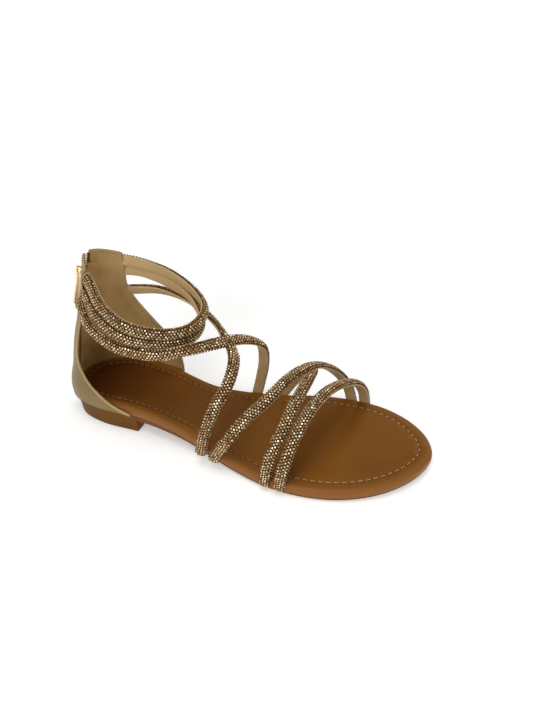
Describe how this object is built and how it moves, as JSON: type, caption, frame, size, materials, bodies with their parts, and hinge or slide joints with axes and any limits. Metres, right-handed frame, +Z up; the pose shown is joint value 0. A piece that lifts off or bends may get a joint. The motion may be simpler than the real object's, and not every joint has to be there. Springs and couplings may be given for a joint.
{
  "type": "gladiator sandal",
  "caption": "Flat open gladiator sandal with a low heel, crossing stone-covered straps, ankle loops and a rear zip in a closed heel quarter.",
  "frame": {"origin": "on the floor, under the middle of the heel seat", "axes": "+X towards the toe, +Y towards the inner side of the right foot, +Z up"},
  "size_m": [0.2442, 0.0929, 0.1133],
  "materials": {
    "footbed_leatherette": "smooth brown leatherette, semi-matt, with a paler rounded edge",
    "sole_brown": "moulded dark brown, satin",
    "quarter_leatherette": "champagne leatherette with a faint metallic sheen",
    "strap_stones": "strap padded and set with small faceted stones, bronze and champagne",
    "zip_cloth": "woven zip tape with dark metal teeth",
    "gold_metal": "light gold plating, polished"
  },
  "bodies": {
    "shoe": {"sole_unit": "sole_brown", "footbed": "footbed_leatherette", "heel_quarter": "quarter_leatherette", "ankle_strap_top": "strap_stones", "ankle_strap_low": "strap_stones", "instep_cross_straps": "strap_stones", "toe_cross_straps": "strap_stones", "toe_front_strap": "strap_stones", "zip_tape": "zip_cloth", "zip_slider": "gold_metal"},
    "pull": {"zip_pull": "gold_metal"}
  },
  "joints": [
    {"name": "pull_swing", "type": "hinge", "parent": "shoe", "child": "pull", "pos_m": [-0.01094, 0.00255, 0.10004], "axis": [0, 1, 0], "range_deg": [0, 150]}
  ]
}
